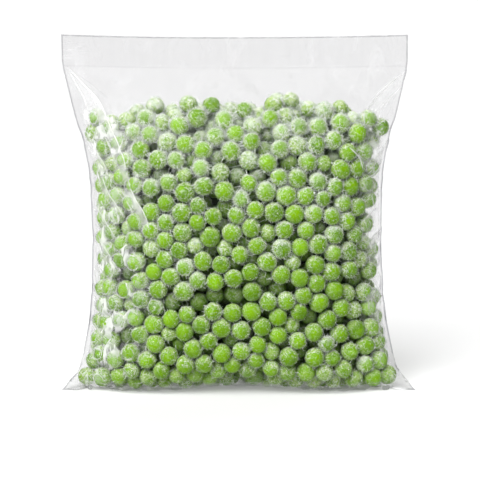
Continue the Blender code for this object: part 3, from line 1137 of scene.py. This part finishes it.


def pea_material():
    """Frozen pea: clear green under the film, dusted with frost and webbed with rime elsewhere. Its
    upper side is painted lighter, partly as light from above, and inner peas get painted shade.
    """
    nodes = Nodes("frozen_pea", (0.25, 0.45, 0.1))
    # The upper side of a pea is whiter: partly frost dust, partly painted light from above.
    frost = nodes.maths("MULTIPLY_ADD", nodes.mark("facing_up"), DUST_AND_TOP_LIGHT, nodes.mark("frost"))
    place = nodes.place()
    patches = nodes.noise(5, 2)
    speckles = nodes.noise(0.8, 3, 0.75)
    # The frost starts a little away from the film, at a ragged edge, and thickens from there.
    ragged = nodes.maths("MULTIPLY_ADD", nodes.maths("SUBTRACT", speckles, 0.5), 2.0, nodes.mark("film_gap"))
    cover = nodes.times(nodes.ramp(ragged, 0.3, 1.9), nodes.ramp(frost, 0.0, 0.9, 0.35, 1.0))
    clear = nodes.blend(nodes.mark("tone"), CLEAR_DARK, CLEAR_LIGHT)
    clear = nodes.blend(nodes.ramp(patches, 0.35, 0.7, 0, 0.6), clear, CLEAR_LIGHT)
    dusty = nodes.blend(nodes.ramp(nodes.noise(2.2, 3, 0.6), 0.38, 0.60), DUSTY_DARK, DUSTY_LIGHT)
    colour = nodes.blend(nodes.times(cover, 0.75), clear, dusty)
    # The rime is a web of thin lines, broken up where a second noise is low.
    wander = nodes.add("TexNoise", {"Vector": place, "Scale": 900.0, "Detail": 2.0}).outputs["Color"]
    bent = nodes.add("VectorMath", {0: wander, 3: 1.1 * MM}, operation="SCALE")
    bent = nodes.add("VectorMath", {0: place, 1: bent}, operation="ADD")
    cells = nodes.add("TexVoronoi", {"Vector": bent, "Scale": 620.0}, feature="DISTANCE_TO_EDGE")
    lines = nodes.ramp(cells.outputs["Distance"], 0.03, 0.14, 0.9, 0.0)
    web = nodes.times(lines, nodes.ramp(nodes.noise(1.6, 2), 0.42, 0.60))
    grains = nodes.ramp(nodes.noise(0.9, 2, 0.8), 0.60, 0.68, 0.0, 0.8)
    heaped = nodes.times(nodes.maths("MINIMUM", frost, 1.1), 0.5)
    drift = nodes.maths("ADD", nodes.noise(1.8, 4, 0.65), heaped)
    white = nodes.most(web, grains, nodes.ramp(drift, 0.82, 1.18, 0.0, 0.68))
    white = nodes.times(white, nodes.ramp(frost, 0.05, 0.9, 0.28, 1.0))
    white = nodes.times(white, nodes.ramp(ragged, -0.4, 1.4, 0.15, 1.0))
    colour = nodes.blend(white, colour, RIME)
    # Painted shade: the inner peas, which little light reaches, are darkened towards the core's green.
    colour = nodes.blend(nodes.times(nodes.mark("painted_shade"), 0.6), colour, PAINTED_SHADE_GREEN)
    height = nodes.maths("MULTIPLY_ADD", white, 0.7, speckles)
    bump = nodes.add("Bump", {"Height": height, "Strength": 0.45, "Distance": 0.6 * MM})
    gloss = {"Roughness": 0.28, "Specular IOR Level": 0.12}
    glow = {"Subsurface Weight": 0.2, "Subsurface Radius": (0.6, 1.0, 0.2), "Subsurface Scale": 1.5 * MM}
    return nodes.output(nodes.add("BsdfPrincipled", {"Base Color": colour, "Normal": bump, **gloss, **glow}))


def core_material():
    """Painted shade: a very dark green, with paler blotches, for the shaded deep peas between the inner peas.
    """
    nodes = Nodes("deep_peas_painted_shade", PAINTED_SHADE_GREEN)
    blotches = nodes.ramp(nodes.noise(4, 4), 0.35, 0.7)
    colour = nodes.blend(blotches, PAINTED_SHADE_GREEN, PAINTED_SHADE_PALER)
    bump = nodes.add("Bump", {"Height": blotches, "Strength": 0.4, "Distance": 1 * MM})
    return nodes.output(nodes.add("BsdfPrincipled", {"Base Color": colour, "Roughness": 0.6, "Normal": bump}))


def frost_material():
    """Hoarfrost: white, letting some light through, and darkened to a green painted shade deep in the heap.
    """
    nodes = Nodes("hoarfrost", (0.9, 0.95, 0.9))
    colour = nodes.blend(nodes.ramp(nodes.noise(3), 0.35, 0.65), FROST_DULL, FROST_BRIGHT)
    # Painted shade: deep in the heap the frost is darkened towards a shaded green.
    colour = nodes.blend(nodes.mark("deep"), colour, FROST_PAINTED_SHADE)
    back = nodes.add("BsdfTranslucent", {"Color": colour})
    front = nodes.add("BsdfPrincipled", {"Base Color": colour, "Roughness": 0.35})
    return nodes.output(nodes.add("MixShader", {0: 0.3, 1: front, 2: back}))


def wear(piece, material):
    """Puts a material on a whole piece."""
    piece.data.materials.clear()
    piece.data.materials.append(material)


green_skin = pea_material()
for piece in (peas_round, peas_uneven, peas_inner):
    wear(piece, green_skin)
wear(core, core_material())
white_frost = frost_material()
for piece in (frost_needles, frost_webs, frost_grains):
    wear(piece, white_frost)

# %% [markdown]
# ## The film
# The film is clear polythene about a tenth of a millimetre thick. A ray of light that meets it
# square passes almost unchanged, and one that grazes it is reflected, so the gloss grows with the
# angle. The skin here is one closed surface, and light coming out through it meets its inner side.
# A glass shader would bend that light as if the bag were solid glass. So the film is a transparent
# shader with a thin gloss over it.

# %% Make the film material
FILM_TINT = (0.909, 0.908, 0.911)
EDGE_AND_SHADOW_TINT = (0.74, 0.74, 0.75)
MILK_AND_HIGHLIGHT = (0.85, 0.85, 0.855)
FILM_GLOSS = 0.004
MOST_HAZE = 0.78
SCALE_SIZE = 8.5 * MM
EARS_START = (74 * MM, 82 * MM)  # between these distances from the middle the body ends
FOOT_WRINKLES = (3 * MM, 7 * MM)
CORNER_WRINKLES = (-88 * MM, -74 * MM)
CONTACT_SHADOW_HEIGHTS = (0.6 * MM, 3.5 * MM)  # the heights over which the painted contact shadow, a dark line where the bag stands, fades


def scales(nodes, place):
    """Overlapping scales of slack film, each white along its upper left and clearer below. Some are
    far whiter than others."""
    cells = nodes.add("TexVoronoi", {"Vector": place, "Scale": 1 / SCALE_SIZE}).outputs
    offset = nodes.add("VectorMath", {0: place, 1: cells["Position"]}, operation="SUBTRACT")
    down = nodes.add("VectorMath", {0: offset, 1: (0.6, 0, -0.8)}, operation="DOT_PRODUCT").outputs["Value"]
    slope = nodes.ramp(down, -0.4 * SCALE_SIZE, 0.45 * SCALE_SIZE, 1.0, 0.55)
    return nodes.times(slope, nodes.ramp(cells["Color"], 0.50, 0.56, 0.4, 2.0))


def crease_haze_and_highlights(nodes, pea_gap):
    """The white strips beside the creases, partly whiter doubled film and partly painted highlight,
    and the painted highlights along their hems and along the ridges of the creases themselves.
    """
    beyond = nodes.mark("crease_beyond")
    share = nodes.mark("crease_share")
    strip = nodes.times(nodes.ramp(share, 0.88, 1.0, 1.0, 0.0), nodes.ramp(beyond, -0.15, 0.25))
    strip = nodes.times(strip, nodes.ramp(nodes.noise(5, 2), 0.36, 0.6, 0.65, 1.0))
    strip = nodes.times(strip, nodes.ramp(share, 0.1, 0.9, 1.0, 0.55))
    # A pea that touches the strip shows through. Above the heap the strip is thin, with painted highlights
    # along its edges.
    strip = nodes.times(strip, nodes.ramp(pea_gap, 0.0, 1.2, 0.45, 0.85))
    strip = nodes.times(strip, nodes.ramp(pea_gap, 1.5, 5.0, 1.0, 0.48))
    # Painted highlights: a bright hem along the strip's outer edge, and a thin line along the ridge.
    hem_highlight = nodes.ramp(nodes.away(share, 0.93), 0.02, 0.07, 0.75, 0.0)
    hem_highlight = nodes.times(hem_highlight, nodes.ramp(beyond, 0.2, 0.5), nodes.ramp(nodes.noise(7, 2), 0.40, 0.52))
    ridge = nodes.ramp(nodes.away(beyond), 0.12, 0.45, 1.0, 0.0)
    ridge = nodes.times(ridge, nodes.ramp(nodes.mark("crease_away"), 0.7, 1.3, 1.0, 0.0))
    return nodes.times(nodes.most(strip, hem_highlight, ridge), nodes.mark("crease_strength"))


def wrinkle_haze(nodes, place, body):
    """Level white wrinkles along the bag's foot and in the left end of the band."""
    x, _, z = nodes.add("SeparateXYZ", {"Vector": place}).outputs
    level = nodes.add("Mapping", {"Vector": place, "Scale": (0.12, 0.12, 1.0)}).outputs[0]
    wrinkles = nodes.ramp(nodes.away(nodes.noise(2.4, 2, 0.5, level), 0.5), 0.0, 0.035, 0.5, 0.0)
    foot = nodes.times(nodes.ramp(z, *FOOT_WRINKLES, 1.0, 0.0), body)
    corner = nodes.ramp(x, *CORNER_WRINKLES, 0.4, 0.0)
    corner = nodes.times(corner, nodes.ramp(nodes.mark("above_seal"), 2, 5))
    corner = nodes.times(corner, nodes.ramp(nodes.mark("rim"), 0.8, 2.0))
    return nodes.times(wrinkles, nodes.most(foot, corner))


def film_haze_and_highlights(nodes, place, body):
    """How white the film is: creases, slack film near the sides, wisps and wrinkles. The white is
    partly the film's own haze and partly painted highlight and reflection.
    """
    pea_gap = nodes.mark("pea_gap")
    # Slack film is milky, partly its own haze and partly a painted reflection, most of all where no
    # pea touches it, but not above the heap.
    slanted = {"Vector": place, "Rotation": (0, 0.6, 0), "Scale": (1.0, 1.0, 0.45)}
    slant = nodes.add("Mapping", slanted).outputs[0]
    streaks = nodes.noise(4.5, 2, 0.5, slant, Distortion=1.2)
    slack_haze_and_reflection = nodes.times(nodes.mark("haze_and_reflection"), nodes.ramp(streaks, 0.47, 0.55, 0.35, 1.0))
    slack_haze_and_reflection = nodes.times(slack_haze_and_reflection, scales(nodes, place), nodes.ramp(pea_gap, 0.1, 1.1, 0.6, 1.0))
    slack_haze_and_reflection = nodes.times(slack_haze_and_reflection, nodes.ramp(pea_gap, 1.5, 4.0, 1.0, 0.2))
    # Round each pea runs a thin white line, where the film leaves it.
    lines = nodes.ramp(nodes.away(pea_gap, 0.55), 0.05, 0.22, 1.0, 0.0)
    lines = nodes.times(lines, nodes.ramp(nodes.noise(6, 2), 0.42, 0.55))
    lines = nodes.times(lines, nodes.ramp(nodes.mark("haze_and_reflection"), 0.02, 0.3, 0.0, 0.75))
    wisps = nodes.ramp(nodes.noise(12, 2, 0.5, slant, Distortion=1.5), 0.50, 0.75, 0.0, 0.12)
    wisps = nodes.times(wisps, nodes.ramp(pea_gap, 2.0, 6.0))
    haze_and_reflection = nodes.most(crease_haze_and_highlights(nodes, pea_gap), slack_haze_and_reflection, lines, wisps, wrinkle_haze(nodes, place, body))
    return nodes.times(nodes.maths("MINIMUM", haze_and_reflection, 1.0), MOST_HAZE)


def film_material():
    """Clear film with a gloss that grows at grazing angles, hazy where it is slack or creased, with
    painted highlights and reflections there, and a painted contact shadow at its foot.
    """
    nodes = Nodes("clear_film", (0.9, 0.93, 0.92))
    place = nodes.place()
    x, _, z = nodes.add("SeparateXYZ", {"Vector": place}).outputs
    body = nodes.ramp(nodes.away(x), *EARS_START, 1.0, 0.0)
    above_seal = nodes.mark("above_seal")
    in_band = nodes.ramp(above_seal, -0.1, 0.3)
    grazing = nodes.maths("POWER", nodes.add("LayerWeight", {"Blend": 0.5}).outputs["Facing"], 5.0)
    gloss = nodes.maths("MULTIPLY_ADD", grazing, 1 - FILM_GLOSS, FILM_GLOSS)
    # The band has faint upright streaks, as the hot bar left them.
    upright = nodes.add("Mapping", {"Vector": place, "Scale": (1.0, 1.0, 0.12)}).outputs[0]
    streaks = nodes.noise(2.5, 3, 0.6, upright)
    relief = nodes.maths("MULTIPLY_ADD", streaks, in_band, nodes.noise(7, 1.5))
    bump = nodes.add("Bump", {"Height": relief, "Strength": 0.3, "Distance": 0.6 * MM})
    # The film looks dark at its cut edge, along the seal and where the eye grazes it. At its foot it is
    # darkened as a painted contact shadow, where the bag stands on the floor.
    edge = nodes.ramp(nodes.mark("rim"), 0.45, 1.0, 1.0, 0.0)
    seal_line = nodes.ramp(nodes.away(above_seal), 0.15, 0.6, 0.16, 0.0)
    mottle = nodes.times(in_band, nodes.ramp(streaks, 0.35, 0.65, 0.0, 0.04))
    painted_contact_shadow = nodes.times(nodes.ramp(z, *CONTACT_SHADOW_HEIGHTS, 0.9, 0.0), body)
    dark = nodes.most(edge, seal_line, nodes.times(grazing, 0.8), mottle, painted_contact_shadow)
    tint = nodes.blend(nodes.maths("MINIMUM", dark, 1.0), FILM_TINT, EDGE_AND_SHADOW_TINT)
    clear = nodes.add("BsdfTransparent", {"Color": tint})
    milk_and_highlight = nodes.add("BsdfDiffuse", {"Color": MILK_AND_HIGHLIGHT, "Normal": bump})
    milk_and_highlight_back = nodes.add("BsdfTranslucent", {"Color": MILK_AND_HIGHLIGHT})
    milk_and_highlight = nodes.add("MixShader", {0: 0.25, 1: milk_and_highlight, 2: milk_and_highlight_back})
    film_body = nodes.add("MixShader", {0: film_haze_and_highlights(nodes, place, body), 1: clear, 2: milk_and_highlight})
    shine = nodes.add("BsdfGlossy", {"Color": (1, 1, 1), "Roughness": 0.1, "Normal": bump})
    return nodes.output(nodes.add("MixShader", {0: gloss, 1: film_body, 2: shine}))


wear(film, film_material())
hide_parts("pea_bag")
for piece in (film, peas_round, peas_uneven, peas_inner, core, frost_needles, frost_webs, frost_grains):
    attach(piece, "root")

# %% [markdown]
# ## Floor, light and camera
# The bag stands on a plain white floor in soft light from above left. The camera looks slightly
# down at it from about a metre away.

# %% Set the stage
FLOOR_SIZE = 60.0
FLOOR_GAP = 0.2 * MM  # how far the floor lies below the bag
FLOOR_WHITE = (0.55, 0.55, 0.55)
FLOOR_GLOW = 0.25  # a light table: the floor shines a little, which thins out the shadow
WORLD_LIGHT = 0.1

bpy.ops.object.select_all(action="DESELECT")
bpy.ops.mesh.primitive_plane_add(size=FLOOR_SIZE, location=(0, 0, bag_low.z - FLOOR_GAP))
floor = bpy.context.object
floor.name = "floor"
floor_nodes = Nodes("white_floor", (0.9, 0.9, 0.9))
matt = floor_nodes.add("BsdfDiffuse", {"Color": FLOOR_WHITE})
glow = floor_nodes.add("Emission", {"Color": (1, 1, 1), "Strength": FLOOR_GLOW})
floor.data.materials.append(floor_nodes.output(floor_nodes.add("AddShader", {0: matt, 1: glow})))

world = bpy.data.worlds.new("studio")
world.use_nodes = True
background = world.node_tree.nodes["Background"].inputs
background["Color"].default_value = (1, 1, 1, 1)
background["Strength"].default_value = WORLD_LIGHT
bpy.context.scene.world = world
bpy.context.scene.view_settings.view_transform = "Standard"


def add_light(name, kind, place, target, strength, **settings):
    """A soft light that shines from a place towards a target."""
    light = bpy.data.lights.new(name, kind)
    light.energy = strength
    for key, value in settings.items():
        setattr(light, key, value)
    lamp = bpy.data.objects.new(name, light)
    lamp.location = place
    lamp.rotation_euler = (Vector(place) - Vector(target)).to_track_quat("Z", "Y").to_euler()
    bpy.context.scene.collection.objects.link(lamp)


add_light("overhead", "SUN", (-0.26, -0.7, 1.0), (0, 0, 0), 3.8, angle=math.radians(45))
add_light("back", "SUN", (0.3, 0.9, 0.6), (0, 0, 0), 2.0, angle=math.radians(70))
add_light("key", "AREA", (-0.65, -0.95, 0.75), (0, 0, 0.08), 8, size=0.7)

CAMERA_LOOKS_AT = Vector((0.0007, 0, 0.0771))
CAMERA_HEIGHT_ANGLE = math.radians(9)
CAMERA_AWAY = 0.95
CAMERA_LENS = 136.2  # in mm, as is the sensor
camera = bpy.data.objects.new("camera", bpy.data.cameras.new("camera"))
camera.data.lens = CAMERA_LENS
camera.data.sensor_width = 36
back_up = Vector((0, -math.cos(CAMERA_HEIGHT_ANGLE), math.sin(CAMERA_HEIGHT_ANGLE)))
camera.location = CAMERA_LOOKS_AT + CAMERA_AWAY * back_up
camera.rotation_euler = (-back_up).to_track_quat("-Z", "Y").to_euler()
bpy.context.scene.collection.objects.link(camera)
bpy.context.scene.camera = camera
